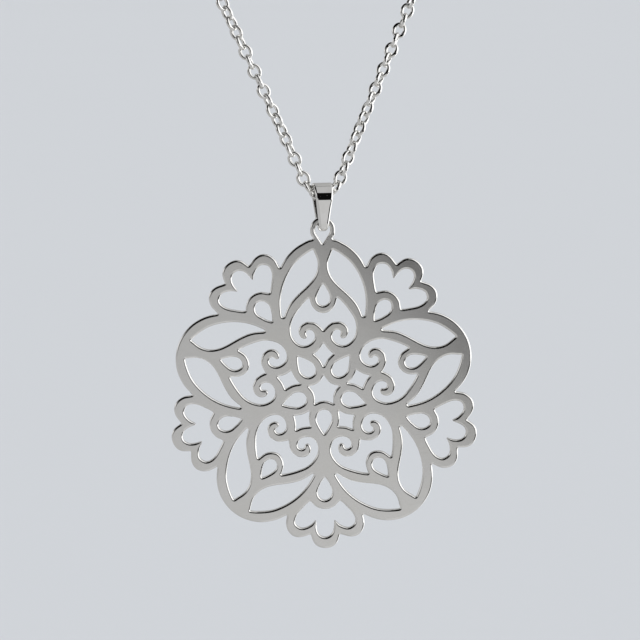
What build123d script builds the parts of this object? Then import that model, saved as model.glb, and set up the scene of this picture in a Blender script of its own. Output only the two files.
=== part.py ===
from build123d import *
import math
import os
from collections import namedtuple

# Openwork flower pendant on a cable chain, all in silver, in its worn form.
# Millimetres. +Z is up and the pendant's front faces -Y. The origin is the
# middle of the nape, where the clasp rests and the necklace hangs from.

# ---- driving dimensions ------------------------------------------------------
plate_thickness = 1.00  # the pierced flower plate
plate_turn = -7.8  # degrees about +Z: the flower hangs a little turned in its bail
eye_height = 22.81  # centre of the eye's ring above the centre of the flower
eye_outer_radius = 1.74
eye_hole_height = 22.74
eye_hole_radius = 1.05
eye_tip_drop = 1.96  # the hole runs down to a point this far under its centre
eye_relief = 0.33  # 45 degree relief round the eye's hole, where the bail turns

bail_strip = 0.75  # thickness of the bail's bent strip
bail_top_radius = 1.35  # inside radius of the bend over the chain
bail_bottom_radius = 0.80  # inside radius of the bend through the eye
bail_top_half_width = 1.43
bail_bottom_half_width = 0.58
bail_inner_round = 0.30  # rounding of the strip's inner edges
bail_outer_round = 0.18  # rounding of the strip's outer edges

chain_diameter = 1.70  # envelope of the links, as one tube
chain_gap = 0.05  # between the chain's top and the bail's bend
eye_below_bend = 0.31  # top of the eye's hole under the centre of the bail's lower bend
bend_height = -3.58  # centre of the bail's lower bend, under the chain's centre line
saddle_half_run = 2.52  # half of the chain's level run through the bail
saddle_radius = 1.70  # the chain's fold on each side of the bail

clasp_length = 11.0
clasp_diameter = 3.4
piece_gap = 0.05

# ---- the flower's outlines -----------------------------------------------------
# One petal and one bud repeat five times round the star. Each outline is charted
# over half of one petal: x is across and z up the petal's middle line, measured
# from the flower's centre. A bud's middle line lies 36 degrees from the petal's.
# enter and leave are the headings of the line in degrees (0 along +x, 90 along +z),
# and corner is the rounding radius where they differ.
Knot = namedtuple("Knot", "x z enter leave corner")
PETALS = 5
HALF_SECTOR = 180 / PETALS
BUD_LINE = 90 - HALF_SECTOR


def smooth(x, z, heading):
    return Knot(x, z, heading, heading, 0)


def on_bud_line(radius, enter, leave=None, corner=0):
    a = math.radians(BUD_LINE)
    return Knot(radius * math.cos(a), radius * math.sin(a), enter, enter if leave is None else leave, corner)


# outer edge, from the petal's tip to the bud's tip
EDGE = [
    smooth(0.00, 21.53, 0),
    smooth(3.05, 20.75, -28),
    smooth(4.89, 19.23, -49),
    Knot(6.02, 17.42, -62, 62, 0.12),
    smooth(6.75, 18.71, 47),
    smooth(8.30, 19.43, -2),
    smooth(9.85, 18.48, -54),
    Knot(10.38, 17.80, -46, 37, 0.12),
    smooth(11.53, 18.55, 18.6),
    on_bud_line(22.49, -36),
]
# the same edge where the eye stands on the top petal
EYE_EDGE = [
    smooth(0.00, eye_height + eye_outer_radius, 0),
    smooth(eye_outer_radius, eye_height, -90),
    Knot(1.10, 21.46, -139, -8, 0.22),
] + EDGE[1:]
# pairs of leaf-shaped openings, one each side of a petal's middle line
LEAF = [
    Knot(1.35, 20.02, 72, -27, 0.16),
    smooth(3.48, 18.55, -42),
    smooth(5.02, 16.39, -63.6),
    smooth(5.92, 13.35, -83.7),
    Knot(5.73, 10.02, -98, 112, 0.18),
    smooth(4.86, 12.06, 120),
    smooth(3.61, 13.59, 135),
    smooth(1.70, 15.43, 130.7),
    smooth(0.77, 18.40, 79),
]
# heart-shaped opening with two scrolls inside
HEART = [
    smooth(0.00, 11.05, 0),
    smooth(1.37, 11.76, 49),
    Knot(1.97, 13.25, 74, -42, 0.12),
    smooth(4.04, 10.77, -57),
    smooth(4.59, 8.70, -92),
    smooth(4.26, 7.43, -122),
    smooth(2.61, 6.42, -186),
    smooth(1.40, 7.18, 125),
    smooth(1.30, 8.19, 68),
    smooth(1.85, 8.68, 8),
    smooth(2.44, 8.30, -83),
    smooth(2.34, 7.75, -80),
    smooth(2.65, 7.45, -4),
    smooth(3.46, 8.17, 75),
    smooth(2.88, 9.51, 148),
    smooth(2.09, 9.78, 186),
    smooth(1.07, 9.58, 212),
    Knot(0.00, 8.58, 232, None, 0.10),
]
PETAL_DROP = [
    Knot(0.00, 15.15, None, -48, 0.08),
    smooth(0.64, 14.14, -64),
    smooth(0.92, 12.95, -98),
    smooth(0.68, 12.42, -129),
    smooth(0.00, 12.08, 180),
]
DIAMOND = [
    Knot(0.00, 6.80, None, -50, 0.06),
    smooth(0.46, 6.13, -53),
    Knot(1.38, 5.26, -40, -140, 0.05),
    smooth(0.61, 4.53, -131),
    Knot(0.00, 3.47, -118, None, 0.06),
]
# these four lie on the bud's middle line
INNER_DROP = [
    on_bud_line(6.13, None, 196, 0.06),
    smooth(1.78, 4.14, 211),
    smooth(1.21, 3.34, 250),
    smooth(1.18, 2.72, -78),
    on_bud_line(2.67, -36),
]
STAR = [
    Knot(0.00, 2.27, None, -58, 0.06),
    smooth(0.26, 1.84, -60),
    on_bud_line(1.447, -36),
]
BUD_DROP = [
    on_bud_line(15.64, 144),
    smooth(8.30, 12.76, 197),
    smooth(7.36, 11.55, 262),
    smooth(7.22, 10.85, -94),
    on_bud_line(12.27, -86, None, 0.08),
]
BUD = [
    on_bud_line(20.95, 144),
    smooth(11.02, 16.96, 211),
    Knot(9.84, 15.74, 230, 104, 0.09),
    smooth(9.56, 16.86, 115),
    smooth(8.45, 17.92, 176),
    smooth(7.54, 17.63, 231),
    smooth(7.19, 15.60, -81),
    Knot(7.50, 13.94, -73, 4, 0.18),
    smooth(8.70, 14.09, -4),
    on_bud_line(16.87, -36),
]


def mirrored(knots, line):
    """The knots reflected in the middle line at that angle, in the other order."""
    c, s = math.cos(math.radians(2 * line)), math.sin(math.radians(2 * line))
    turn = 2 * line + 180
    return [
        Knot(
            k.x * c + k.z * s,
            k.x * s - k.z * c,
            None if k.leave is None else turn - k.leave,
            None if k.enter is None else turn - k.enter,
            k.corner,
        )
        for k in reversed(knots)
    ]


def turned(knots, angle):
    c, s = math.cos(math.radians(angle)), math.sin(math.radians(angle))
    return [
        Knot(
            k.x * c - k.z * s,
            k.x * s + k.z * c,
            None if k.enter is None else k.enter + angle,
            None if k.leave is None else k.leave + angle,
            k.corner,
        )
        for k in knots
    ]


def joined(*halves):
    """One closed outline from pieces whose ends share a knot."""
    out = []
    for half in halves:
        if out:
            half = [out.pop()._replace(leave=half[0].leave)] + half[1:]
        out += half
    last = out.pop()
    out[0] = out[0]._replace(enter=last.enter)
    return out


def corner_arc(k):
    """Start, middle and end of the rounding at a knot, or None where the line is smooth."""
    turn = (k.leave - k.enter + 180) % 360 - 180
    if not k.corner or abs(turn) < 0.5:
        return None
    side = math.copysign(1, turn)
    enter = math.radians(k.enter)
    leave = math.radians(k.leave)
    back = k.corner * math.tan(math.radians(abs(turn) / 2))
    start = (k.x - back * math.cos(enter), k.z - back * math.sin(enter))
    end = (k.x + back * math.cos(leave), k.z + back * math.sin(leave))
    cx = start[0] - side * k.corner * math.sin(enter)
    cz = start[1] + side * k.corner * math.cos(enter)
    d = math.hypot(k.x - cx, k.z - cz)
    middle = (cx + (k.x - cx) / d * k.corner, cz + (k.z - cz) / d * k.corner)
    return start, middle, end


def curve_poles(a, leave, b, enter):
    """Bezier poles of the natural curve between two points with those headings."""
    chord = math.hypot(b[0] - a[0], b[1] - a[1])
    slope = math.atan2(b[1] - a[1], b[0] - a[0])
    t = (math.radians(leave) - slope + math.pi) % (2 * math.pi) - math.pi
    p = (slope - math.radians(enter) + math.pi) % (2 * math.pi) - math.pi

    def reach(u, v):
        w = math.sqrt(2) * (math.sin(u) - math.sin(v) / 16) * (math.sin(v) - math.sin(u) / 16) * (math.cos(u) - math.cos(v))
        return (2 + w) / (3 * (1 + 0.618034 * math.cos(u) + 0.381966 * math.cos(v)))

    la, lb = chord * reach(t, p), chord * reach(p, t)
    return (
        a,
        (a[0] + la * math.cos(math.radians(leave)), a[1] + la * math.sin(math.radians(leave))),
        (b[0] - lb * math.cos(math.radians(enter)), b[1] - lb * math.sin(math.radians(enter))),
        b,
    )


def in_plane(point):
    return Vector(point[0], 0, point[1])


def outline_wire(knots):
    arcs = [corner_arc(k) for k in knots]
    edges = []
    for i, k in enumerate(knots):
        j = (i + 1) % len(knots)
        if arcs[i]:
            edges.append(ThreePointArc(*[in_plane(p) for p in arcs[i]]).edge())
        a = arcs[i][2] if arcs[i] else (k.x, k.z)
        b = arcs[j][0] if arcs[j] else (knots[j].x, knots[j].z)
        poles = curve_poles(a, k.leave, b, knots[j].enter)
        edges.append(Bezier(*[in_plane(p) for p in poles]).edge())
    return Wire(edges)


def round_the_flower(knots):
    return [turned(knots, -2 * HALF_SECTOR * n) for n in range(PETALS)]


petal_line, bud_line = 90, BUD_LINE
plain_sector = EDGE + mirrored(EDGE, bud_line)[1:]
first_sector = EYE_EDGE + mirrored(EDGE, bud_line)[1:]
last_sector = EDGE + mirrored(EYE_EDGE, bud_line)[1:]
sectors = [first_sector] + [plain_sector] * (PETALS - 2) + [last_sector]
outer = joined(*[turned(s, -2 * HALF_SECTOR * n) for n, s in enumerate(sectors)])
star_sector = STAR + mirrored(STAR, bud_line)[1:]
openings = [joined(*round_the_flower(star_sector))]
for half, line in (
    (HEART, petal_line),
    (PETAL_DROP, petal_line),
    (DIAMOND, petal_line),
    (INNER_DROP, bud_line),
    (BUD_DROP, bud_line),
    (BUD, bud_line),
):
    openings += round_the_flower(joined(half, mirrored(half, line)))
openings += round_the_flower(LEAF)
openings += round_the_flower(mirrored(LEAF, petal_line))
tangent = math.degrees(math.asin(eye_hole_radius / eye_tip_drop))
EYE_HOLE = [
    smooth(0, eye_hole_height + eye_hole_radius, 0),
    smooth(eye_hole_radius, eye_hole_height, -90),
    smooth(
        eye_hole_radius * math.cos(math.radians(tangent)),
        eye_hole_height - eye_hole_radius * math.sin(math.radians(tangent)),
        -90 - tangent,
    ),
    Knot(0, eye_hole_height - eye_tip_drop, -90 - tangent, None, 0.08),
]
openings.append(joined(EYE_HOLE, mirrored(EYE_HOLE, petal_line)))

plate_face = Face(outline_wire(outer), [outline_wire(o) for o in openings])
plate = Solid.extrude(plate_face, Vector(0, plate_thickness, 0))
plate = plate.moved(Location((0, -plate_thickness / 2, 0)))
for side in (-1, 1):
    relief = Cone(eye_hole_radius - 0.15, eye_hole_radius + eye_relief + 0.1, eye_relief + 0.25)
    relief = Rot(X=-90 * side) * relief
    relief = Pos(0, side * (plate_thickness / 2 + 0.1 - (eye_relief + 0.25) / 2), eye_hole_height) * relief
    plate = plate - relief

# ---- the necklace's route --------------------------------------------------------
# Right-hand half, from the middle of the bail to the middle of the nape. Each row is
# one straight run: its length and its direction (across, back, up).
Run = namedtuple("Run", "length across back up")
ROUTE = [
    Run(52.5, 0.3886, 0.0885, 0.9172),  # pulled straight by the pendant
    Run(34.0, 0.420, 0.262, 0.869),
    Run(25.0, 0.395, 0.420, 0.817),
    Run(21.0, 0.250, 0.615, 0.748),
    Run(19.0, 0.030, 0.790, 0.612),
    Run(18.0, -0.270, 0.865, 0.423),
    Run(17.0, -0.580, 0.785, 0.218),
    Run(16.0, -0.840, 0.535, 0.090),
    Run(15.0, -0.975, 0.220, 0.020),
]
half_route = [(saddle_half_run, 0.0, 0.0)]
for run in ROUTE:
    n = math.sqrt(run.across**2 + run.back**2 + run.up**2)
    x, y, z = half_route[-1]
    half_route.append((x + run.length * run.across / n, y + run.length * run.back / n, z + run.length * run.up / n))
nape_y, nape_z = half_route[-1][1], half_route[-1][2]
half_route = [(x, y - nape_y, z - nape_z) for x, y, z in half_route]
saddle = (0.0, -nape_y, -nape_z)  # the chain's centre line in the middle of the bail
tube_end = (clasp_length / 2 + piece_gap, 0.0, 0.0)
right = [tube_end] + half_route[::-1]
left = [(-x, y, z) for x, y, z in right[::-1]]
route = right + left

corners = []
for a, b, c in zip(route, route[1:], route[2:]):
    a, b, c = Vector(*a), Vector(*b), Vector(*c)
    half_turn = math.radians((b - a).get_angle(c - b) / 2)
    shorter = min((b - a).length, (c - b).length)
    radius = 0.45 * shorter / math.tan(half_turn)
    if abs(b.Z - saddle[2]) < 0.01:
        radius = min(radius, saddle_radius)
    corners.append(radius)
path = FilletPolyline(*[Vector(*p) for p in route], radius=corners)
print("route points:", [tuple(round(v, 2) for v in p) for p in route])
print("bend radii:", [round(r, 1) for r in corners])
start = Plane(origin=path @ 0, z_dir=path % 0)
tube = sweep(start * Circle(chain_diameter / 2), path=path.wire())
length = path.wire().length
print("chain length:", round(length, 1), "with its clasp:", round(length + clasp_length + 2 * piece_gap, 1))
section = math.pi * chain_diameter**2 / 4
print("tube volume:", round(tube.volume, 1), "section x length:", round(section * length, 1))

# ---- the bail ---------------------------------------------------------------------
# A bent strip: side profile in YZ, with its centre line in the chain's own plane x = 0.
top_z = chain_diameter / 2 + chain_gap - bail_top_radius  # centre of the upper bend
bottom_z = bend_height  # centre of the lower bend


def bail_loop(r_top, r_bottom):
    lean = math.asin((r_top - r_bottom) / (top_z - bottom_z))
    c, s = math.cos(lean), math.sin(lean)

    def at(side, r, z):
        return Vector(0, side * r * c, z - r * s)

    return Wire(
        [
            ThreePointArc(at(1, r_top, top_z), Vector(0, 0, top_z + r_top), at(-1, r_top, top_z)).edge(),
            Line(at(-1, r_top, top_z), at(-1, r_bottom, bottom_z)).edge(),
            ThreePointArc(at(-1, r_bottom, bottom_z), Vector(0, 0, bottom_z - r_bottom), at(1, r_bottom, bottom_z)).edge(),
            Line(at(1, r_bottom, bottom_z), at(1, r_top, top_z)).edge(),
        ]
    )


outer_top, outer_bottom = bail_top_radius + bail_strip, bail_bottom_radius + bail_strip
side_face = Face(bail_loop(outer_top, outer_bottom), [bail_loop(bail_top_radius, bail_bottom_radius)])
strip = Solid.extrude(side_face, Vector(4, 0, 0)).moved(Location((-2, 0, 0)))
high, low = top_z + outer_top, bottom_z - outer_bottom
taper = Polyline(
    Vector(-bail_top_half_width, -4, high),
    Vector(bail_top_half_width, -4, high),
    Vector(bail_bottom_half_width, -4, low),
    Vector(-bail_bottom_half_width, -4, low),
    close=True,
)
taper = Solid.extrude(Face(Wire(taper.edges())), Vector(0, 8, 0))
bail = strip.intersect(taper)
bail = bail.solids()[0] if hasattr(bail, "solids") else bail[0].solids()[0]


def edge_rim(solid, inside):
    """The strip's long edges on its inner or outer face."""
    rim = []
    for e in solid.edges():
        p = e @ 0.5
        z = min(max(p.Z, bottom_z), top_z)
        share = (z - bottom_z) / (top_z - bottom_z)
        r = bail_bottom_radius + share * (bail_top_radius - bail_bottom_radius)
        d = math.hypot(p.Y, p.Z - z)
        if (d < r + bail_strip / 2) == inside:
            rim.append(e)
    return rim


bail = bail.fillet(bail_inner_round, edge_rim(bail, True))
bail = bail.fillet(bail_outer_round, edge_rim(bail, False))

# ---- the clasp: one plain piece at the nape ---------------------------------------
clasp = Cylinder(clasp_diameter / 2, clasp_length, rotation=(0, 90, 0))
clasp = fillet(clasp.edges(), 0.8)

# ---- placing and writing ------------------------------------------------------------
eye_top_z = bottom_z - eye_below_bend
plate = Rot(Z=plate_turn) * (Pos(0, 0, eye_top_z - eye_hole_radius - eye_hole_height) * plate)
to_saddle = Pos(*saddle)
nodes = {
    "flower_plate": to_saddle * plate,
    "bail": to_saddle * bail,
    "neck_chain": tube,
    "clasp": clasp,
}
print("saddle:", tuple(round(v, 3) for v in saddle), "bail bend:", round(saddle[2] + bottom_z, 3))
os.makedirs("parts", exist_ok=True)
for name, shape in nodes.items():
    solid = shape.solids()[0]
    print(name, "solids", len(shape.solids()), "volume", round(solid.volume, 2), "valid", solid.is_valid)
    export_step(solid, f"parts/{name}.step")
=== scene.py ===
import math
from collections import namedtuple

import bmesh
import bpy
import numpy as np
from mathutils import Matrix, Vector
from mathutils.geometry import delaunay_2d_cdt


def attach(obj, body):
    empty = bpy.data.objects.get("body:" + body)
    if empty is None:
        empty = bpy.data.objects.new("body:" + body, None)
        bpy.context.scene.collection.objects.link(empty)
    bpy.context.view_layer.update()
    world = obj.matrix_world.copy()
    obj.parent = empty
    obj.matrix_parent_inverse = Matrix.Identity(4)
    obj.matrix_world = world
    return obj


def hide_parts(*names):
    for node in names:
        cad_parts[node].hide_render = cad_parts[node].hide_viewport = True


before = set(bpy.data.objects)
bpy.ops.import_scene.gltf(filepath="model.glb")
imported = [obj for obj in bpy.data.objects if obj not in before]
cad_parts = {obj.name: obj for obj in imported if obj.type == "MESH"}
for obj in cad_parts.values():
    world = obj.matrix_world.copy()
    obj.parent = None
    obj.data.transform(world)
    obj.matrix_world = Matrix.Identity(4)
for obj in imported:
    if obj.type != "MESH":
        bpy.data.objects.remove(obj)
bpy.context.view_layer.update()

scene = bpy.context.scene
MM = 0.001

# Looks of the openwork flower pendant: the flower with softly rounded rims, the
# polished bail, the cable chain's links and the barrel clasp. Shapes are charted in
# millimetres and set into the frame in metres.

SADDLE = Vector((0.0, -92.755, -138.516))  # the chain's line in the middle of the bail, mm
PLATE_TURN = math.radians(-7.8)

# ---- camera ----------------------------------------------------------------------
VIEW_AZIMUTH, VIEW_ELEVATION, VIEW_ROLL = math.radians(-9.5), math.radians(7.4), math.radians(-0.53)
VIEW_DISTANCE = 400.0
back = Vector(
    (
        math.sin(VIEW_AZIMUTH) * math.cos(VIEW_ELEVATION),
        -math.cos(VIEW_AZIMUTH) * math.cos(VIEW_ELEVATION),
        math.sin(VIEW_ELEVATION),
    )
)
right = Vector((math.cos(VIEW_AZIMUTH), math.sin(VIEW_AZIMUTH), 0.0))
up = back.cross(right)
target = SADDLE + Vector((0.0, 0.0, -18.0)) - 0.478 * right + 0.357 * up
cr, sr = math.cos(VIEW_ROLL), math.sin(VIEW_ROLL)
screen_right, screen_up = cr * right + sr * up, -sr * right + cr * up
camera = bpy.data.objects.new("camera", bpy.data.cameras.new("camera"))
scene.collection.objects.link(camera)
camera.matrix_world = Matrix.Translation((target + VIEW_DISTANCE * back) * MM) @ Matrix(
    (screen_right, screen_up, back)
).transposed().to_4x4()
camera.data.sensor_width = 36.0
camera.data.lens = 160.37
camera.data.clip_start = 0.02
camera.data.clip_end = 200.0
scene.camera = camera
scene.view_settings.view_transform = "Standard"

# ---- the necklace's line -----------------------------------------------------------
# Right-hand half in metres, from the clasp to the bail. The leg hangs straight into
# the bail, so two points more hold it straight there.
LEG = Vector((0.3886, 0.0885, 0.9172)).normalized()
FOLD = Vector((1.64, 0.0, -0.02))  # where the leg turns level, from the saddle, mm
ROUTE = [
    (0.00555, 0.0, 0.0),
    (0.01011, 0.0, 0.0),
    (0.02473, -0.0033, -0.0003),
    (0.03817, -0.01186, -0.00174),
    (0.04803, -0.02521, -0.00545),
    (0.05289, -0.04077, -0.01306),
    (0.05232, -0.05579, -0.02469),
    (0.04707, -0.0687, -0.0404),
    (0.0372, -0.0792, -0.06082),
    (0.02292, -0.08811, -0.09037),
    tuple((SADDLE + FOLD + 12.0 * LEG) * MM),
    tuple((SADDLE + FOLD + 3.2 * LEG) * MM),
    tuple((SADDLE + FOLD) * MM),
]
route = ROUTE + [(-x, y, z) for x, y, z in reversed(ROUTE)]
line = bpy.data.curves.new("necklace_line", "CURVE")
line.dimensions = "3D"
line.resolution_u = 96
spline = line.splines.new("NURBS")
spline.points.add(len(route) - 1)
for point, (x, y, z) in zip(spline.points, route):
    point.co = (x, y, z, 1.0)
spline.order_u = 3
spline.use_endpoint_u = True
line_object = bpy.data.objects.new("necklace_line", line)
scene.collection.objects.link(line_object)
bpy.context.view_layer.update()
read = bpy.data.meshes.new_from_object(line_object.evaluated_get(bpy.context.evaluated_depsgraph_get()))
line_points = np.array([v.co for v in read.vertices], float) / MM
bpy.data.meshes.remove(read)
bpy.data.objects.remove(line_object)
bpy.data.curves.remove(line)
if line_points[0, 0] < 0:
    line_points = line_points[::-1]
# the right-hand half, from the middle of the bail up to the clasp
half_line = line_points[line_points[:, 0] > 1e-6][::-1]
low = line_points[np.argmin(np.abs(line_points[:, 0]))]
half_line = np.vstack([[[0.0, low[1], low[2]]], half_line])


# ---- meshes from arrays ----------------------------------------------------------------
def piece(name, body, nodes, co, faces, normals=None):
    """One mesh object from arrays in millimetres, smooth, riding on a body."""
    mesh = bpy.data.meshes.new(name)
    mesh.from_pydata((np.asarray(co) * MM).tolist(), [], [tuple(int(i) for i in f) for f in faces])
    mesh.shade_smooth()
    if normals is not None:
        mesh.normals_split_custom_set_from_vertices(np.asarray(normals).tolist())
    mesh.update()
    obj = bpy.data.objects.new(name, mesh)
    scene.collection.objects.link(obj)
    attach(obj, body)
    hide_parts(*nodes)
    return obj


def facing(co, faces, normals):
    """The faces, each wound so that it looks the way of its vertices' normals."""
    out = []
    for face in faces:
        face = np.asarray(face)
        p = co[face]
        n = np.cross(p[:, 2] - p[:, 0], p[:, -1] - p[:, 1]) if p.shape[1] == 4 else np.cross(p[:, 1] - p[:, 0], p[:, 2] - p[:, 0])
        wrong = np.einsum("ij,ij->i", n, normals[face].sum(1)) < 0
        face = face.copy()
        face[wrong] = face[wrong][:, ::-1]
        out += face.tolist()
    return out


def grid_faces(rows, columns, base=0, close_rows=False, close_columns=True):
    """Quads over a grid of vertices, rows by columns."""
    i = np.arange(rows if close_rows else rows - 1)
    j = np.arange(columns if close_columns else columns - 1)
    i, j = np.meshgrid(i, j, indexing="ij")
    i2, j2 = (i + 1) % rows, (j + 1) % columns
    quads = np.stack([i * columns + j, i * columns + j2, i2 * columns + j2, i2 * columns + j], -1)
    return quads.reshape(-1, 4) + base


# ---- the flower --------------------------------------------------------------------------
PLATE_THICKNESS = 1.00
RIM = 0.27  # width of the rounded rim, on the face
RIM_DEPTH = 0.20
RIM_STEPS = 6
EYE_RIM = 0.24
BEND_HEIGHT = -3.58
EYE_BELOW_BEND = 0.31
EYE_HEIGHT, EYE_OUTER_RADIUS = 22.81, 1.74
EYE_HOLE_HEIGHT, EYE_HOLE_RADIUS, EYE_TIP_DROP = 22.74, 1.05, 1.96

# One petal and one bud repeat five times round the star. Each outline is charted
# over half of one petal: x is across and z up the petal's middle line, from the
# flower's centre. A bud's middle line lies 36 degrees from the petal's. enter and
# leave are the line's headings in degrees, and corner is the rounding where they differ.
Knot = namedtuple("Knot", "x z enter leave corner")
PETALS = 5
HALF_SECTOR = 180 / PETALS
BUD_LINE = 90 - HALF_SECTOR


def smooth(x, z, heading):
    return Knot(x, z, heading, heading, 0)


def on_bud_line(radius, enter, leave=None, corner=0):
    a = math.radians(BUD_LINE)
    return Knot(radius * math.cos(a), radius * math.sin(a), enter, enter if leave is None else leave, corner)


# outer edge, from the petal's tip to the bud's tip
EDGE = [
    smooth(0.00, 21.53, 0),
    smooth(3.05, 20.75, -28),
    smooth(4.89, 19.23, -49),
    Knot(6.02, 17.42, -62, 62, 0.12),
    smooth(6.75, 18.71, 47),
    smooth(8.30, 19.43, -2),
    smooth(9.85, 18.48, -54),
    Knot(10.38, 17.80, -46, 37, 0.12),
    smooth(11.53, 18.55, 18.6),
    on_bud_line(22.49, -36),
]
# the same edge where the eye stands on the top petal
EYE_EDGE = [
    smooth(0.00, EYE_HEIGHT + EYE_OUTER_RADIUS, 0),
    smooth(EYE_OUTER_RADIUS, EYE_HEIGHT, -90),
    Knot(1.10, 21.46, -139, -8, 0.22),
] + EDGE[1:]
# pairs of leaf-shaped openings, one each side of a petal's middle line
LEAF = [
    Knot(1.35, 20.02, 72, -27, 0.16),
    smooth(3.48, 18.55, -42),
    smooth(5.02, 16.39, -63.6),
    smooth(5.92, 13.35, -83.7),
    Knot(5.73, 10.02, -98, 112, 0.18),
    smooth(4.86, 12.06, 120),
    smooth(3.61, 13.59, 135),
    smooth(1.70, 15.43, 130.7),
    smooth(0.77, 18.40, 79),
]
# heart-shaped opening with two scrolls inside
HEART = [
    smooth(0.00, 11.05, 0),
    smooth(1.37, 11.76, 49),
    Knot(1.97, 13.25, 74, -42, 0.12),
    smooth(4.04, 10.77, -57),
    smooth(4.59, 8.70, -92),
    smooth(4.26, 7.43, -122),
    smooth(2.61, 6.42, -186),
    smooth(1.40, 7.18, 125),
    smooth(1.30, 8.19, 68),
    smooth(1.85, 8.68, 8),
    smooth(2.44, 8.30, -83),
    smooth(2.34, 7.75, -80),
    smooth(2.65, 7.45, -4),
    smooth(3.46, 8.17, 75),
    smooth(2.88, 9.51, 148),
    smooth(2.09, 9.78, 186),
    smooth(1.07, 9.58, 212),
    Knot(0.00, 8.58, 232, None, 0.10),
]
PETAL_DROP = [
    Knot(0.00, 15.15, None, -48, 0.08),
    smooth(0.64, 14.14, -64),
    smooth(0.92, 12.95, -98),
    smooth(0.68, 12.42, -129),
    smooth(0.00, 12.08, 180),
]
DIAMOND = [
    Knot(0.00, 6.80, None, -50, 0.06),
    smooth(0.46, 6.13, -53),
    Knot(1.38, 5.26, -40, -140, 0.05),
    smooth(0.61, 4.53, -131),
    Knot(0.00, 3.47, -118, None, 0.06),
]
# these four lie on the bud's middle line
INNER_DROP = [
    on_bud_line(6.13, None, 196, 0.06),
    smooth(1.78, 4.14, 211),
    smooth(1.21, 3.34, 250),
    smooth(1.18, 2.72, -78),
    on_bud_line(2.67, -36),
]
STAR = [
    Knot(0.00, 2.27, None, -58, 0.06),
    smooth(0.26, 1.84, -60),
    on_bud_line(1.447, -36),
]
BUD_DROP = [
    on_bud_line(15.64, 144),
    smooth(8.30, 12.76, 197),
    smooth(7.36, 11.55, 262),
    smooth(7.22, 10.85, -94),
    on_bud_line(12.27, -86, None, 0.08),
]
BUD = [
    on_bud_line(20.95, 144),
    smooth(11.02, 16.96, 211),
    Knot(9.84, 15.74, 230, 104, 0.09),
    smooth(9.56, 16.86, 115),
    smooth(8.45, 17.92, 176),
    smooth(7.54, 17.63, 231),
    smooth(7.19, 15.60, -81),
    Knot(7.50, 13.94, -73, 4, 0.18),
    smooth(8.70, 14.09, -4),
    on_bud_line(16.87, -36),
]


def mirrored(knots, axis):
    """The knots reflected in the middle line at that angle, in the other order."""
    c, s = math.cos(math.radians(2 * axis)), math.sin(math.radians(2 * axis))
    turn = 2 * axis + 180
    return [
        Knot(
            k.x * c + k.z * s,
            k.x * s - k.z * c,
            None if k.leave is None else turn - k.leave,
            None if k.enter is None else turn - k.enter,
            k.corner,
        )
        for k in reversed(knots)
    ]


def turned(knots, angle):
    c, s = math.cos(math.radians(angle)), math.sin(math.radians(angle))
    return [
        Knot(
            k.x * c - k.z * s,
            k.x * s + k.z * c,
            None if k.enter is None else k.enter + angle,
            None if k.leave is None else k.leave + angle,
            k.corner,
        )
        for k in knots
    ]


def joined(*halves):
    """One closed outline from pieces whose ends share a knot."""
    out = []
    for half in halves:
        if out:
            half = [out.pop()._replace(leave=half[0].leave)] + half[1:]
        out += half
    last = out.pop()
    out[0] = out[0]._replace(enter=last.enter)
    return out


def corner_arc(k):
    """Centre, radius, first and last angle of the rounding at a knot, or None where the line is smooth."""
    turn = (k.leave - k.enter + 180) % 360 - 180
    if not k.corner or abs(turn) < 0.5:
        return None
    side = math.copysign(1, turn)
    enter = math.radians(k.enter)
    back_off = k.corner * math.tan(math.radians(abs(turn) / 2))
    cx = k.x - back_off * math.cos(enter) - side * k.corner * math.sin(enter)
    cz = k.z - back_off * math.sin(enter) + side * k.corner * math.cos(enter)
    first = enter - side * math.pi / 2
    return cx, cz, k.corner, first, first + math.radians(turn), side


def curve_poles(a, leave, b, enter):
    """Bezier poles of the natural curve between two points with those headings."""
    chord = math.hypot(b[0] - a[0], b[1] - a[1])
    slope = math.atan2(b[1] - a[1], b[0] - a[0])
    t = (math.radians(leave) - slope + math.pi) % (2 * math.pi) - math.pi
    p = (slope - math.radians(enter) + math.pi) % (2 * math.pi) - math.pi

    def reach(u, v):
        w = math.sqrt(2) * (math.sin(u) - math.sin(v) / 16) * (math.sin(v) - math.sin(u) / 16) * (math.cos(u) - math.cos(v))
        return (2 + w) / (3 * (1 + 0.618034 * math.cos(u) + 0.381966 * math.cos(v)))

    la, lb = chord * reach(t, p), chord * reach(p, t)
    return (
        a,
        (a[0] + la * math.cos(math.radians(leave)), a[1] + la * math.sin(math.radians(leave))),
        (b[0] - lb * math.cos(math.radians(enter)), b[1] - lb * math.sin(math.radians(enter))),
        b,
    )


FINEST_TURN = math.radians(7.0)
LONGEST_STEP = 0.55


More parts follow.
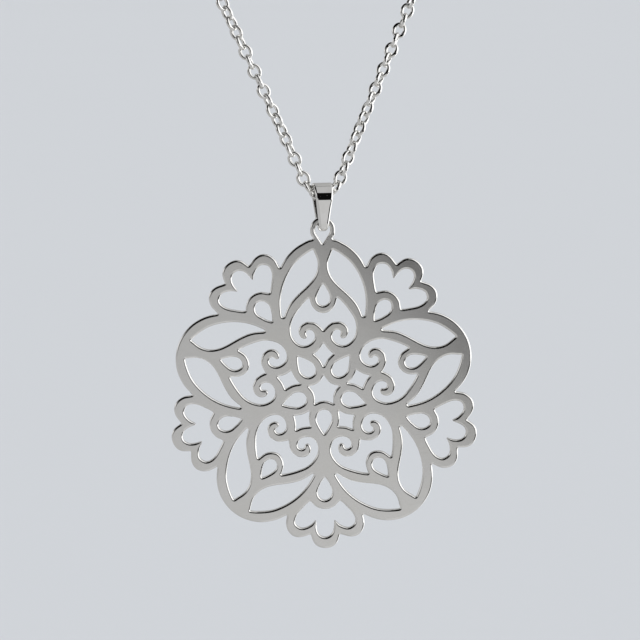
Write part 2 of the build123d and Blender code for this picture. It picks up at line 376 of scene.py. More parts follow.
def outline_samples(knots):
    """Points and unit headings round a closed outline, closer together where it bends."""
    arcs = [corner_arc(k) for k in knots]
    points, headings = [], []
    for i, k in enumerate(knots):
        j = (i + 1) % len(knots)
        a = (k.x, k.z)
        if arcs[i]:
            cx, cz, r, first, last, side = arcs[i]
            # the rim is widest round these corners, so they are cut finer
            n = max(3, math.ceil(abs(last - first) / math.radians(9.0)))
            for t in np.linspace(first, last, n + 1)[:-1]:
                points.append((cx + r * math.cos(t), cz + r * math.sin(t)))
                headings.append(t + side * math.pi / 2)
            a = (cx + r * math.cos(last), cz + r * math.sin(last))
        b = (knots[j].x, knots[j].z)
        if arcs[j]:
            cx, cz, r, first, last, side = arcs[j]
            b = (cx + r * math.cos(first), cz + r * math.sin(first))
        p = np.array(curve_poles(a, k.leave, b, knots[j].enter))
        t = np.linspace(0, 1, 97)[:, None]
        q = (1 - t) ** 3 * p[0] + 3 * (1 - t) ** 2 * t * p[1] + 3 * (1 - t) * t**2 * p[2] + t**3 * p[3]
        d = 3 * (1 - t) ** 2 * (p[1] - p[0]) + 6 * (1 - t) * t * (p[2] - p[1]) + 3 * t**2 * (p[3] - p[2])
        h = np.unwrap(np.arctan2(d[:, 1], d[:, 0]))
        step = np.hypot(*np.diff(q, axis=0).T) / LONGEST_STEP + np.abs(np.diff(h)) / FINEST_TURN
        effort = np.concatenate([[0], np.cumsum(step)])
        n = max(1, math.ceil(effort[-1]))
        at = np.interp(np.linspace(0, effort[-1], n + 1)[:-1], effort, t[:, 0])[:, None]
        q = (1 - at) ** 3 * p[0] + 3 * (1 - at) ** 2 * at * p[1] + 3 * (1 - at) * at**2 * p[2] + at**3 * p[3]
        d = 3 * (1 - at) ** 2 * (p[1] - p[0]) + 6 * (1 - at) * at * (p[2] - p[1]) + 3 * at**2 * (p[3] - p[2])
        points += q.tolist()
        headings += np.arctan2(d[:, 1], d[:, 0]).tolist()
    return np.array(points), np.array(headings)


def rim_widths(points, inward, widest):
    """Width of the rim at each point: narrower where the metal's own corner is sharper than the rim."""
    n = len(points)
    around = np.roll(points, -1, 0) - points
    length = np.hypot(*around.T)
    along = around / length[:, None]
    # the inward normals close up where the metal is convex
    closing = -np.einsum("ij,ij->i", np.roll(inward, -1, 0) - inward, along) / length
    bend = np.maximum(closing, np.roll(closing, 1))
    width = np.minimum(widest, 0.72 / np.maximum(bend, 1e-6))
    for _ in range(3):
        for i in list(range(n)) + list(range(n)):
            width[i] = min(width[i], width[i - 1] + 0.35 * length[i - 1])
        for i in list(range(n - 1, -1, -1)) + list(range(n - 1, -1, -1)):
            j = (i + 1) % n
            width[i] = min(width[i], width[j] + 0.35 * length[i])
    return width


plain_sector = EDGE + mirrored(EDGE, BUD_LINE)[1:]
first_sector = EYE_EDGE + mirrored(EDGE, BUD_LINE)[1:]
last_sector = EDGE + mirrored(EYE_EDGE, BUD_LINE)[1:]
sectors = [first_sector] + [plain_sector] * (PETALS - 2) + [last_sector]
star_sector = STAR + mirrored(STAR, BUD_LINE)[1:]


def round_the_flower(knots):
    return [turned(knots, -2 * HALF_SECTOR * n) for n in range(PETALS)]


outlines = [joined(*[turned(s, -2 * HALF_SECTOR * n) for n, s in enumerate(sectors)])]
outlines.append(joined(*round_the_flower(star_sector)))
for half, axis in (
    (HEART, 90),
    (PETAL_DROP, 90),
    (DIAMOND, 90),
    (INNER_DROP, BUD_LINE),
    (BUD_DROP, BUD_LINE),
    (BUD, BUD_LINE),
):
    outlines += round_the_flower(joined(half, mirrored(half, axis)))
outlines += round_the_flower(LEAF)
outlines += round_the_flower(mirrored(LEAF, 90))
tangent = math.degrees(math.asin(EYE_HOLE_RADIUS / EYE_TIP_DROP))
EYE_HOLE = [
    smooth(0, EYE_HOLE_HEIGHT + EYE_HOLE_RADIUS, 0),
    smooth(EYE_HOLE_RADIUS, EYE_HOLE_HEIGHT, -90),
    smooth(
        EYE_HOLE_RADIUS * math.cos(math.radians(tangent)),
        EYE_HOLE_HEIGHT - EYE_HOLE_RADIUS * math.sin(math.radians(tangent)),
        -90 - tangent,
    ),
    Knot(0, EYE_HOLE_HEIGHT - EYE_TIP_DROP, -90 - tangent, None, 0.08),
]
outlines.append(joined(EYE_HOLE, mirrored(EYE_HOLE, 90)))


def rim_profile(power):
    """Inset and depth, as shares, and the outward lean of a rim's normal, from face to wall."""
    f = np.linspace(0, math.pi / 2, RIM_STEPS + 1)
    inset = 1 - np.sin(f) ** (2 / power)
    depth = 1 - np.cos(f) ** (2 / power)
    inset[-1], depth[0] = 0, 0
    return inset, depth, np.sin(f) ** (2 - 2 / power), np.cos(f) ** (2 - 2 / power)


def build_flower():
    co, normals, quads, fronts, backs, loops = [], [], [], [], [], []
    base = 0
    for number, knots in enumerate(outlines):
        points, heading = outline_samples(knots)
        area = 0.5 * np.sum(points[:, 0] * np.roll(points[:, 1], -1) - np.roll(points[:, 0], -1) * points[:, 1])
        left = np.stack([-np.sin(heading), np.cos(heading)], 1)
        inside = left * (1 if area > 0 else -1)
        inward = inside if number == 0 else -inside  # into the metal
        eye = number == len(outlines) - 1
        width = rim_widths(points, inward, EYE_RIM if eye else RIM)
        depth = EYE_RIM if eye else RIM_DEPTH
        inset, drop, lean_out, lean_face = rim_profile(1.5 if eye else 2.0)
        n = len(points)
        rings = []
        for side in (-1, 1):
            order = range(RIM_STEPS + 1) if side < 0 else range(RIM_STEPS, -1, -1)
            for s in order:
                w = width[:, None]
                d = depth * width[:, None] / (EYE_RIM if eye else RIM)
                xz = points + inward * w * inset[s]
                y = side * (PLATE_THICKNESS / 2 - d[:, 0] * drop[s])
                # normal of the rim's curve, in the outline's own section
                a = lean_out[s] / w
                b = lean_face[s] / d
                size = np.sqrt(a**2 + b**2)
                nxz = -inward * (a / size)
                ny = side * (b / size)[:, 0]
                rings.append((xz, y, nxz, ny))
        for xz, y, nxz, ny in rings:
            co.append(np.stack([xz[:, 0], y, xz[:, 1]], 1))
            normals.append(np.stack([nxz[:, 0], ny, nxz[:, 1]], 1))
        quads.append(grid_faces(len(rings), n, base))
        fronts.append(np.arange(n) + base)
        backs.append(np.arange(n) + base + n * (len(rings) - 1))
        base += n * len(rings)
    co, normals = np.vstack(co), np.vstack(normals)
    quads = np.vstack(quads)

    def face_of(loops):
        flat = np.concatenate(loops)
        where = co[flat][:, [0, 2]]
        starts = np.cumsum([0] + [len(loop) for loop in loops])
        edges = []
        for s, e in zip(starts, starts[1:]):
            edges += [(i, i + 1 if i + 1 < e else int(s)) for i in range(int(s), int(e))]
        out_co, _, out_faces, originals, _, _ = delaunay_2d_cdt([Vector(p) for p in where], edges, [], 0, 1e-7)
        assert len(out_co) == len(where), "the rims cross"
        to_mine = [o[0] for o in originals]
        tri = np.array([[to_mine[i] for i in f] for f in out_faces])
        centre = where[tri].mean(1)
        a = where[[i for i, _ in edges]]
        b = where[[j for _, j in edges]]
        inside = np.zeros(len(centre), bool)
        for chunk in np.array_split(np.arange(len(centre)), 12):
            cx, cz = centre[chunk, 0][:, None], centre[chunk, 1][:, None]
            crosses = (a[:, 1] > cz) != (b[:, 1] > cz)
            at = a[:, 0] + (cz - a[:, 1]) * (b[:, 0] - a[:, 0]) / np.where(b[:, 1] == a[:, 1], 1, b[:, 1] - a[:, 1])
            inside[chunk] = (crosses & (cx < at)).sum(1) % 2 == 1
        return flat[tri[inside]]

    front, rear = face_of(fronts), face_of(backs)
    normals[np.concatenate(fronts)] = (0, -1, 0)
    normals[np.concatenate(backs)] = (0, 1, 0)
    faces = facing(co, [quads, front, rear], normals)
    c, s = math.cos(PLATE_TURN), math.sin(PLATE_TURN)
    turn = np.array([[c, -s, 0], [s, c, 0], [0, 0, 1]])
    drop = BEND_HEIGHT - EYE_BELOW_BEND - EYE_HOLE_RADIUS - EYE_HOLE_HEIGHT
    co = co @ turn.T + np.array(SADDLE) + np.array([0, 0, drop])
    return co, faces, normals @ turn.T


co, faces, normals = build_flower()
flower = piece("flower", "flower", ["flower_plate"], co, faces, normals)

# ---- the bail ------------------------------------------------------------------------------
STRIP = 0.75
TOP_RADIUS, BOTTOM_RADIUS = 1.35, 0.80
TOP_HALF_WIDTH, BOTTOM_HALF_WIDTH = 1.43, 0.58
INNER_ROUND, OUTER_ROUND = 0.30, 0.36  # of the strip's long edges, at the bottom bend
LEG_INNER_ROUND, TOP_OUTER_ROUND = 0.14, 0.27
TOP_CENTRE = -0.45
BOTTOM_CENTRE = BEND_HEIGHT


def bail_section(inner_round, outer_round):
    """Round the strip's section: which side, inset from it and distance from the loop's inner face."""
    half = []
    for t in np.linspace(0, math.pi / 2, 8):  # inner edge
        half.append((inner_round * (1 - math.sin(t)), inner_round * (1 - math.cos(t))))
    for t in np.linspace(0, math.pi / 2, 9):  # outer edge
        half.append((outer_round * (1 - math.cos(t)), STRIP - outer_round * (1 - math.sin(t))))
    middle = 4
    across = [1 - 2 * (k + 1) / (middle + 1) for k in range(middle)]
    section = [(1, i, r) for i, r in half]
    section += [(0, c * outer_round, STRIP, c) for c in across]
    section += [(-1, i, r) for i, r in reversed(half)]
    section += [(0, -c * inner_round, 0.0, -c) for c in across]
    return section


def build_bail():
    high, low_end = TOP_CENTRE + TOP_RADIUS + STRIP, BOTTOM_CENTRE - BOTTOM_RADIUS - STRIP
    lean = math.asin((TOP_RADIUS - BOTTOM_RADIUS) / (TOP_CENTRE - BOTTOM_CENTRE))
    stations = []  # centre height, inner radius, angle from +y towards +z, inner and outer rounding
    legs = np.linspace(0, 1, 13)[1:-1]
    # the inner edges are well rounded where the eye hangs and crisper up the legs
    rounding = lambda f: INNER_ROUND + (LEG_INNER_ROUND - INNER_ROUND) * min(1.0, max(0.0, f) / 0.45)
    # and the outer edges are crisper over the top than down the legs
    outer = lambda f: TOP_OUTER_ROUND + (OUTER_ROUND - TOP_OUTER_ROUND) * min(1.0, f / 0.2)
    for t in np.linspace(-lean, math.pi + lean, 73):
        stations.append((TOP_CENTRE, TOP_RADIUS, t, LEG_INNER_ROUND, TOP_OUTER_ROUND))
    for f in legs:
        stations.append((TOP_CENTRE + f * (BOTTOM_CENTRE - TOP_CENTRE), TOP_RADIUS + f * (BOTTOM_RADIUS - TOP_RADIUS), math.pi + lean, rounding(1 - f), outer(f)))
    for t in np.linspace(math.pi + lean, 2 * math.pi - lean, 57):
        stations.append((BOTTOM_CENTRE, BOTTOM_RADIUS, t, INNER_ROUND, OUTER_ROUND))
    for f in legs:
        stations.append((BOTTOM_CENTRE + f * (TOP_CENTRE - BOTTOM_CENTRE), BOTTOM_RADIUS + f * (TOP_RADIUS - BOTTOM_RADIUS), 2 * math.pi - lean, rounding(f), outer(1 - f)))
    co = []
    for centre, radius, t, inner_round, outer_round in stations:
        section = bail_section(inner_round, outer_round)
        for side, inset, r, *share_across in section:
            y, z = (radius + r) * math.cos(t), centre + (radius + r) * math.sin(t)
            share = (high - z) / (high - low_end)
            half_width = TOP_HALF_WIDTH + share * (BOTTOM_HALF_WIDTH - TOP_HALF_WIDTH)
            if side:
                x = side * (half_width - inset)
            else:
                x = share_across[0] * half_width - inset
            co.append((x, y, z))
    co = np.array(co)
    faces = grid_faces(len(stations), len(section), close_rows=True)
    # wind the quads outward
    p = co[faces]
    n = np.cross(p[:, 2] - p[:, 0], p[:, 3] - p[:, 1])
    if np.einsum("ij,ij->i", p.mean(1), n).sum() < 0:
        faces = faces[:, ::-1]
    # marks the loop's inner face, where the bail's finish paints shade as a near-black colour
    inside = [1.0 if r < 0.02 and not side else 0.0 for _ in stations for side, _, r, *_ in section]
    return co + np.array(SADDLE), faces, inside


co, faces, inside = build_bail()
bail = piece("bail_loop", "bail", ["bail"], co, faces)
bail.data.attributes.new("inside", "FLOAT", "POINT").data.foreach_set("value", inside)

# ---- the cable chain -------------------------------------------------------------------------
WIRE, END_WIRE = 0.53, 0.41  # the wire is thinner along the chain at a link's ends
LINK_LENGTH, LINK_WIDTH = 2.31, 2.02  # of an oval link, over the wire
LONGEST_PITCH = 1.4875
ROUND_STEPS, WIRE_STEPS = 36, 12
RING_CONTACT = 5.08  # where the last link meets the clasp's ring


def chain_joints(pitch, count):
    """Where the links meet, from the middle of the bail, each a pitch from the last in a straight line."""
    joints = [half_line[0]]
    i = 0
    for _ in range(count):
        here = joints[-1]
        d = np.linalg.norm(half_line[i + 1 :] - here, axis=1)
        k = int(np.argmax(d > pitch))
        if d[k] <= pitch:
            return joints, -1
        a, b = half_line[i + k], half_line[i + k + 1]
        lo, hi = 0.0, 1.0
        for _ in range(40):
            mid = (lo + hi) / 2
            if np.linalg.norm(a + mid * (b - a) - here) < pitch:
                lo = mid
            else:
                hi = mid
        joints.append(a + lo * (b - a))
        i = i + k
    return joints, joints[-1][0] - RING_CONTACT


def chain_layout():
    to_ring = np.linalg.norm(np.diff(half_line, axis=0), axis=1).sum() - 2.0
    count = math.ceil(to_ring / LONGEST_PITCH)
    lo, hi = 1.44, 1.50
    for _ in range(50):
        mid = (lo + hi) / 2
        joints, over = chain_joints(mid, count)
        if over < 0:
            hi = mid
        else:
            lo = mid
    return chain_joints(lo, count)[0], lo, count


# the line runs on level through the nape, so that the last link can reach the clasp's ring
half_line = np.vstack([half_line, [[RING_CONTACT - 2.0, 0.0, 0.0]]])
joints, pitch, links_a_side = chain_layout()
print("links a side:", links_a_side, "pitch:", round(pitch, 4))


def link_shape():
    """One oval link as a ring of rings: its long axis along x and its flat in xz."""
    long, wide = (LINK_LENGTH - END_WIRE) / 2, (LINK_WIDTH - WIRE) / 2
    t = (np.arange(ROUND_STEPS) + 0.5) / ROUND_STEPS * 2 * math.pi
    centre = np.stack([long * np.cos(t), wide * np.sin(t)], 1)
    outward = np.stack([np.cos(t) / long, np.sin(t) / wide], 1)
    outward /= np.hypot(*outward.T)[:, None]
    a = np.arange(WIRE_STEPS) / WIRE_STEPS * 2 * math.pi
    thick = (END_WIRE + (WIRE - END_WIRE) * np.sin(t) ** 2)[:, None]
    out = centre[:, None, :] + (thick / 2 * np.cos(a))[:, :, None] * outward[:, None, :]
    across = np.broadcast_to(np.sin(a)[None, :], out.shape[:2])
    co = np.stack([out[..., 0], WIRE / 2 * across, out[..., 1]], -1).reshape(-1, 3)
    # the section is an ellipse, so its normal leans by the ratio of its thicknesses
    lean = np.stack(np.broadcast_arrays(np.cos(a) / thick, np.sin(a) / WIRE), -1)
    lean /= np.hypot(lean[..., 0], lean[..., 1])[..., None]
    normal = lean[..., :1] * outward[:, None, :]
    normals = np.stack([normal[..., 0], lean[..., 1], normal[..., 1]], -1).reshape(-1, 3)
    return co, normals, grid_faces(ROUND_STEPS, WIRE_STEPS, close_rows=True)


# Slow twist of each side: by how much a link has turned from facing the viewer, over
# the quarter turn between neighbours. Links are counted from the bail.
Twist = namedtuple("Twist", "link degrees")
TWISTS = {
    1: [Twist(1, 42), Twist(2, 26), Twist(3, 17), Twist(5, 25), Twist(7, 42), Twist(10, 45), Twist(11, 57), Twist(15, 62), Twist(17, 79), Twist(20, 98)],
    -1: [Twist(1, 42), Twist(2, 24), Twist(3, 13), Twist(5, 20), Twist(7, 43), Twist(9, 58), Twist(11, 74), Twist(13, 87), Twist(15, 108), Twist(18, 132), Twist(21, 155)],
}


def link_roll(n, side):
    """Degrees from facing the viewer: links stand square to each other, with a slow twist."""
    table = TWISTS[side]
    twist = np.interp(n, [t.link for t in table], [t.degrees for t in table])
    if n > table[-1].link:
        beyond = n - table[-1].link
        twist += 16.0 * math.sin(beyond * 0.23) + 9.0 * math.sin(beyond * 0.61)
    return 90.0 * (n + 1) + side * twist


link_co, link_normals, link_faces = link_shape()
link_faces = np.array(facing(link_co, [link_faces], link_normals))
rng = np.random.default_rng(11)


def build_chain(side):
    points = np.array(joints) * np.array([side, 1, 1])
    towards = -np.array(back)
    co, normals, faces = [], [], []
    reference = None
    last = None
    frames = []
    for n in range(1, links_a_side + 1):
        a, b = points[n - 1], points[n]
        t = (b - a) / np.linalg.norm(b - a)
        if reference is None:
            reference = towards
        reference = reference - reference.dot(t) * t
        reference /= np.linalg.norm(reference)
        frames.append((n, (a + b) / 2, t, reference.copy()))
    # the last link lies flat, so that it passes through the clasp's upright ring
    n, _, t, ref = frames[-1]
    flat = np.array([0, 0, 1.0]) - t[2] * t
    angle = math.degrees(math.atan2(np.cross(ref, flat).dot(t), ref.dot(flat)))
    left_over = (angle - link_roll(n, side) + 90) % 180 - 90
    for n, middle, t, ref in frames:
        spread = min(max((n - 30) / (links_a_side - 30), 0), 1)
        jitter = rng.uniform(-3.0, 3.0) if n > 2 else 0.0
        roll = math.radians(link_roll(n, side) + left_over * spread + (jitter if n < links_a_side else 0))
        flat_normal = ref * math.cos(roll) + np.cross(t, ref) * math.sin(roll)
        wide = np.cross(flat_normal, t)
        turn = np.stack([t, flat_normal, wide], 1)
        co.append(link_co @ turn.T + middle)
        normals.append(link_normals @ turn.T)
        faces.append(link_faces + (n - 1) * len(link_co))
    co, normals, faces = np.vstack(co), np.vstack(normals), np.vstack(faces)
    faces = facing(co, [faces], normals)
    return co, faces, normals


chain_pieces = []
for side, name in ((1, "chain_links_right"), (-1, "chain_links_left")):
    co, faces, normals = build_chain(side)
    chain_pieces.append(piece(name, "chain", ["neck_chain"], co, faces, normals))

# ---- the barrel clasp --------------------------------------------------------------------------
# Profile of the turned barrel: place along it and radius, one half.
BARREL = [
    (0.00, 1.50),
    (0.10, 1.50),
    (0.20, 1.60),
    (0.38, 1.68),
    (1.60, 1.70),
    (2.35, 1.66),
    (2.47, 1.60),
    (2.55, 1.52),
    (2.65, 1.52),
    (2.75, 1.58),
    (2.95, 1.55),
    (3.35, 1.38),
    (3.70, 1.08),
    (3.95, 0.70),
    (4.05, 0.42),
    (4.12, 0.38),
]
RING_WIRE, RING_RADIUS = 0.42, 0.62


def build_clasp():
    profile = [(-x, r) for x, r in reversed(BARREL)] + BARREL[1:]
    steps = 64
    a = np.arange(steps) / steps * 2 * math.pi
    co = []
    for x, r in profile:
        co.append(np.stack([np.full(steps, x), r * np.cos(a), r * np.sin(a)], 1))
    n = len(profile)
    co.append(np.array([[profile[0][0] - 0.02, 0, 0], [profile[-1][0] + 0.02, 0, 0]]))
    co = np.vstack(co)
    faces = grid_faces(n, steps).tolist()
    j = np.arange(steps)
    faces += np.stack([(j + 1) % steps, j, np.full(steps, n * steps)], 1).tolist()
    faces += np.stack([(n - 1) * steps + j, (n - 1) * steps + (j + 1) % steps, np.full(steps, n * steps + 1)], 1).tolist()
    # an upright ring at each end
    base = len(co)
    u = np.arange(40) / 40 * 2 * math.pi
    v = np.arange(14) / 14 * 2 * math.pi
    for side in (-1, 1):
        centre = side * (RING_CONTACT + 0.21 - RING_RADIUS)
        r = RING_RADIUS + RING_WIRE / 2 * np.cos(v)[None, :]
        x = centre + r * np.cos(u)[:, None]
        z = r * np.sin(u)[:, None]
        y = np.broadcast_to(RING_WIRE / 2 * np.sin(v)[None, :], x.shape)
        ring = np.stack([x, y, z], -1).reshape(-1, 3)
        quads = grid_faces(40, 14, base, close_rows=True)
        co = np.vstack([co, ring])
        faces += quads.tolist()
        base += len(ring)
    return co, faces


co, faces = build_clasp()
clasp = piece("barrel_clasp", "chain", ["clasp"], co, faces)
bm = bmesh.new()
bm.from_mesh(clasp.data)
bmesh.ops.recalc_face_normals(bm, faces=bm.faces)
bm.to_mesh(clasp.data)
bm.free()
for obj in (bail, clasp):
    obj.data.shade_smooth()


# ---- finishes ------------------------------------------------------------------------------------
def silver(name, colour, roughness, spread, clouds, hairline, relief, painted_shade_inside=False):
    """Polished silver: soft clouds from hand polishing, fine hairlines and a very small relief, and painted shade
    darkening the bail loop's inner face when asked.
    """
    material = bpy.data.materials.new(name)
    material.use_nodes = True
    nodes, links = material.node_tree.nodes, material.node_tree.links
    nodes.clear()
    out = nodes.new("ShaderNodeOutputMaterial")
    shader = nodes.new("ShaderNodeBsdfPrincipled")
    links.new(shader.outputs["BSDF"], out.inputs["Surface"])
    shader.inputs["Metallic"].default_value = 1.0
    where = nodes.new("ShaderNodeTexCoord")

    def noise(scale, detail, rough, stretch=None):
        n = nodes.new("ShaderNodeTexNoise")
        n.inputs["Scale"].default_value = scale
        n.inputs["Detail"].default_value = detail
        n.inputs["Roughness"].default_value = rough
        if stretch:
            m = nodes.new("ShaderNodeMapping")
            m.inputs["Scale"].default_value = stretch
            m.inputs["Rotation"].default_value = (0.0, math.radians(31), 0.0)
            links.new(where.outputs["Object"], m.inputs["Vector"])
            links.new(m.outputs["Vector"], n.inputs["Vector"])
        else:
            links.new(where.outputs["Object"], n.inputs["Vector"])
        return n

    def span(source, low, high, to_low, to_high):
        r = nodes.new("ShaderNodeMapRange")
        r.interpolation_type = "SMOOTHSTEP"
        r.inputs["From Min"].default_value = low
        r.inputs["From Max"].default_value = high
        r.inputs["To Min"].default_value = to_low
        r.inputs["To Max"].default_value = to_high
        links.new(source, r.inputs["Value"])
        return r.outputs["Result"]

    def maths(kind, a, b):
        m = nodes.new("ShaderNodeMath")
        m.operation = kind
        links.new(a, m.inputs[0])
        if isinstance(b, float):
            m.inputs[1].default_value = b
        else:
            links.new(b, m.inputs[1])
        return m.outputs["Value"]

    cloud = noise(clouds, 3.0, 0.55)
    fine = noise(3200.0, 4.0, 0.6)
    hair = noise(1.0, 3.0, 0.5, (900.0, 900.0, 26000.0))
    # colour: the least warm drift and darker specks of old polish
    mix = nodes.new("ShaderNodeMix")
    mix.data_type = "RGBA"
    mix.inputs[6].default_value = (*[c * 0.955 for c in colour[:2]], colour[2] * 0.94, 1.0)
    mix.inputs[7].default_value = (*[min(1.0, c * 1.02) for c in colour], 1.0)
    links.new(span(cloud.outputs["Fac"], 0.32, 0.68, 0.0, 1.0), mix.inputs[0])
    # painted shade: the loop's inner face, in the strip's shadow, gets a near-black base colour
    if painted_shade_inside:
        inside = nodes.new("ShaderNodeAttribute")
        inside.attribute_name = "inside"
        darker = nodes.new("ShaderNodeMix")
        darker.data_type = "RGBA"
        links.new(inside.outputs["Fac"], darker.inputs[0])
        links.new(mix.outputs[2], darker.inputs[6])
        darker.inputs[7].default_value = (0.16, 0.155, 0.15, 1.0)
        links.new(darker.outputs[2], shader.inputs["Base Color"])
    else:
        links.new(mix.outputs[2], shader.inputs["Base Color"])
    # roughness: clouds, fine grain and hairlines together
    parts = maths("ADD", span(cloud.outputs["Fac"], 0.3, 0.7, roughness - spread, roughness + spread), span(hair.outputs["Fac"], 0.56, 0.74, 0.0, hairline))
    parts = maths("ADD", parts, span(fine.outputs["Fac"], 0.3, 0.7, -0.25 * spread, 0.25 * spread))
    # the shaded inner face is also made rougher
    if painted_shade_inside:
        parts = maths("ADD", parts, maths("MULTIPLY", inside.outputs["Fac"], 0.22))
    links.new(maths("MAXIMUM", parts, 0.02), shader.inputs["Roughness"])
    # relief
    height = maths("ADD", maths("MULTIPLY", fine.outputs["Fac"], 0.4), maths("MULTIPLY", hair.outputs["Fac"], 0.6))
    bump = nodes.new("ShaderNodeBump")
    bump.inputs["Strength"].default_value = relief
    bump.inputs["Distance"].default_value = 0.000002
    links.new(height, bump.inputs["Height"])
    links.new(bump.outputs["Normal"], shader.inputs["Normal"])
    return material


plate_silver = silver("plate_silver", (0.90, 0.893, 0.878), 0.115, 0.018, 170.0, 0.05, 0.35)
# the bail's finish paints shade dark on the loop's inner face
bail_silver = silver("bail_silver", (0.91, 0.905, 0.892), 0.045, 0.012, 420.0, 0.03, 0.12, painted_shade_inside=True)
chain_silver = silver("chain_silver", (0.89, 0.885, 0.872), 0.075, 0.02, 600.0, 0.03, 0.15)
clasp_silver = silver("clasp_silver", (0.89, 0.885, 0.872), 0.09, 0.02, 380.0, 0.06, 0.2)
for obj, material in (
    (flower, plate_silver),
    (bail, bail_silver),
    (chain_pieces[0], chain_silver),
    (chain_pieces[1], chain_silver),
    (clasp, clasp_silver),
    (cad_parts["flower_plate"], plate_silver),
    (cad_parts["bail"], bail_silver),
    (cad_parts["neck_chain"], chain_silver),
    (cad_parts["clasp"], clasp_silver),
):
    obj.data.materials.clear()
    obj.data.materials.append(material)

# ---- floor and light -----------------------------------------------------------------------------
PALE = (0.64, 0.665, 0.70)
FLOOR_HEIGHT = -0.245
floor_mesh = bpy.data.meshes.new("floor")
ring = [(60 * math.cos(a), 60 * math.sin(a), FLOOR_HEIGHT) for a in np.linspace(0, 2 * math.pi, 65)[:-1]]
floor_mesh.from_pydata(ring, [], [tuple(range(64))])
floor = bpy.data.objects.new("floor", floor_mesh)
scene.collection.objects.link(floor)
floor.visible_glossy = False
floor_material = bpy.data.materials.new("floor_pale")
floor_material.use_nodes = True
floor_shader = floor_material.node_tree.nodes["Principled BSDF"]
floor_shader.inputs["Roughness"].default_value = 0.9
floor_shader.inputs["Specular IOR Level"].default_value = 0.1
fn, fl = floor_material.node_tree.nodes, floor_material.node_tree.links
fw = fn.new("ShaderNodeTexCoord")
fc = fn.new("ShaderNodeTexNoise")
fc.inputs["Scale"].default_value = 2.0
fm = fn.new("ShaderNodeMix")
fm.data_type = "RGBA"
fm.inputs[6].default_value = (PALE[0] * 0.99, PALE[1] * 0.99, PALE[2] * 0.99, 1)
fm.inputs[7].default_value = (*PALE, 1)
fl.new(fw.outputs["Object"], fc.inputs["Vector"])
fl.new(fc.outputs["Fac"], fm.inputs[0])
fl.new(fm.outputs[2], floor_shader.inputs["Base Color"])
floor_mesh.materials.append(floor_material)

# Studio round the pendant, by direction: azimuth from the front, to the right positive,
# and elevation, in degrees. A wide white wall on the right, a soft box overhead, a pale
# grey table in front and to the left, and a dark room between them.
world = bpy.data.worlds.new("studio")
scene.world = world
world.use_nodes = True
world.cycles.sampling_method = "NONE"
nodes, links = world.node_tree.nodes, world.node_tree.links
nodes.clear()
wout = nodes.new("ShaderNodeOutputWorld")
where = nodes.new("ShaderNodeTexCoord")


def node_maths(kind, *inputs):
    m = nodes.new("ShaderNodeMath")
    m.operation = kind
    for socket, value in zip(m.inputs, inputs):
        if isinstance(value, (int, float)):
            socket.default_value = float(value)
        else:
            links.new(value, socket)
    return m.outputs["Value"]


def node_dot(vector):
    m = nodes.new("ShaderNodeVectorMath")
    m.operation = "DOT_PRODUCT"
    links.new(where.outputs["Generated"], m.inputs[0])
    m.inputs[1].default_value = vector
    return m.outputs["Value"]


def ramp(value, low, high):
    """0 under low, 1 over high, and a soft step between."""
    r = nodes.new("ShaderNodeMapRange")
    r.interpolation_type = "SMOOTHSTEP"
    r.inputs["From Min"].default_value = min(low, high)
    r.inputs["From Max"].default_value = max(low, high)
    r.inputs["To Min"].default_value = 0.0 if high > low else 1.0
    r.inputs["To Max"].default_value = 1.0 if high > low else 0.0
    links.new(value, r.inputs["Value"])
    return r.outputs["Result"]


def blend(share, low, high):
    """low where share is 0, high where it is 1; either may be a number or a socket."""
    m = nodes.new("ShaderNodeMix")
    m.data_type = "FLOAT"
    links.new(share, m.inputs[0])
    for socket, value in ((m.inputs[2], low), (m.inputs[3], high)):
        if isinstance(value, (int, float)):
            socket.default_value = float(value)
        else:
            links.new(value, socket)
    return m.outputs[0]


ahead = (math.sin(VIEW_AZIMUTH), -math.cos(VIEW_AZIMUTH), 0.0)
aside = (math.cos(VIEW_AZIMUTH), math.sin(VIEW_AZIMUTH), 0.0)
forward, sideways, rise = node_dot(ahead), node_dot(aside), node_dot((0.0, 0.0, 1.0))
az = node_maths("MULTIPLY", node_maths("ARCTAN2", sideways, forward), math.degrees(1))
el = node_maths("MULTIPLY", node_maths("ARCSINE", rise), math.degrees(1))
# height over the front, going on past the zenith to the rear: 0 ahead, 90 overhead, 180 behind
over = node_maths("MULTIPLY", node_maths("ARCTAN2", rise, forward), math.degrees(1))

# the table, brighter towards the viewer and to the right
table = node_maths("ADD", node_maths("MULTIPLY", node_maths("MINIMUM", node_maths("MAXIMUM", az, -1.0), 7.0), 0.018), 0.39)
table = node_maths("SUBTRACT", table, node_maths("MULTIPLY", node_maths("MINIMUM", node_maths("MAXIMUM", el, -12.5), -3.0), 0.0089))
table = node_maths("MULTIPLY", table, blend(ramp(az, 9.0, 16.0), 1.0, 0.92))
# a pale card on the left, above the table's edge
card = node_maths("MULTIPLY", ramp(az, -34.0, -60.0), ramp(el, -2.0, 8.0))
table = blend(card, table, 0.80)
# the dark room over the table's far edge, high on the left and lower on the right
tilted = node_maths("ADD", node_maths("MULTIPLY", az, 0.757), node_maths("MULTIPLY", el, 0.653))
room_foot = node_maths("SUBTRACT", -12.6, node_maths("MULTIPLY", ramp(az, 22.0, 34.0), 20.0))
room = node_maths("MULTIPLY", ramp(tilted, -2.48, 0.90), ramp(node_maths("SUBTRACT", el, room_foot), -1.5, 1.5))
room = node_maths("MULTIPLY", room, ramp(az, -48.0, -26.0))
room = node_maths("MAXIMUM", room, node_maths("MULTIPLY", ramp(el, -4.5, 0.0), ramp(az, -48.0, -26.0)))
room = node_maths("MAXIMUM", room, ramp(el, 20.0, 30.0))
sky = blend(room, table, 0.004)
# a pale wall behind
sky = blend(ramp(node_maths("ABSOLUTE", az), 150.0, 165.0), sky, 0.42)
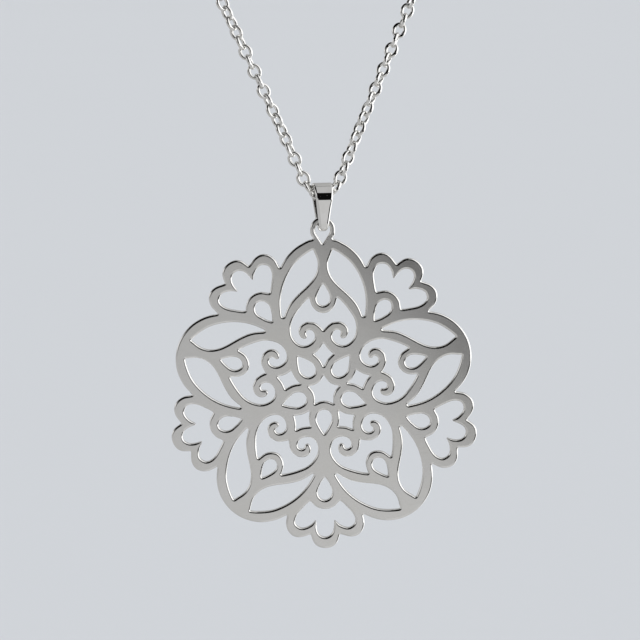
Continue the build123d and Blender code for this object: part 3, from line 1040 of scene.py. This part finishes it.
# soft box overhead, with a thin dark gap at its rear edge
overhead = node_maths("MULTIPLY", ramp(over, 42.5, 45.5), ramp(el, 24.0, 44.0))
overhead = node_maths("MULTIPLY", overhead, ramp(sideways, 0.04, 0.09))
sky = blend(overhead, sky, 0.50)
gap = node_maths("MULTIPLY", ramp(over, 104.5, 105.5), ramp(over, 109.5, 108.0))
gap = node_maths("MULTIPLY", gap, ramp(el, 30.0, 50.0))
sky = blend(gap, sky, 0.05)
# white wall on the right, lower towards the rear
wall_top = node_maths("MINIMUM", node_maths("SUBTRACT", node_maths("MULTIPLY", az, 1.5), 16.0), 68.0)
wall_foot = node_maths("SUBTRACT", -12.0, node_maths("MULTIPLY", ramp(az, 64.0, 96.0), 28.0))
wall = node_maths("MULTIPLY", ramp(az, 30.0, 37.0), ramp(az, 158.0, 150.0))
wall = node_maths("MULTIPLY", wall, ramp(node_maths("SUBTRACT", el, wall_foot), -3.0, 3.0))
wall = node_maths("MULTIPLY", wall, ramp(node_maths("SUBTRACT", el, wall_top), 2.0, -2.0))
sky = blend(wall, sky, blend(ramp(el, 18.0, 34.0), 1.5, 1.1))

paths = nodes.new("ShaderNodeLightPath")
gloss = nodes.new("ShaderNodeBackground")
plain = nodes.new("ShaderNodeBackground")
seen = nodes.new("ShaderNodeBackground")
tint = nodes.new("ShaderNodeCombineColor")
links.new(node_maths("MULTIPLY", sky, 1.0), tint.inputs[0])
links.new(node_maths("MULTIPLY", sky, 1.0), tint.inputs[1])
links.new(node_maths("MULTIPLY", sky, 1.005), tint.inputs[2])
links.new(tint.outputs["Color"], gloss.inputs["Color"])
plain.inputs["Color"].default_value = (1.0, 1.0, 1.0, 1.0)
seen.inputs["Color"].default_value = (*PALE, 1.0)
first = nodes.new("ShaderNodeMixShader")
second = nodes.new("ShaderNodeMixShader")
links.new(paths.outputs["Is Glossy Ray"], first.inputs[0])
links.new(plain.outputs[0], first.inputs[1])
links.new(gloss.outputs[0], first.inputs[2])
links.new(paths.outputs["Is Camera Ray"], second.inputs[0])
links.new(first.outputs[0], second.inputs[1])
links.new(seen.outputs[0], second.inputs[2])
links.new(second.outputs[0], wout.inputs["Surface"])
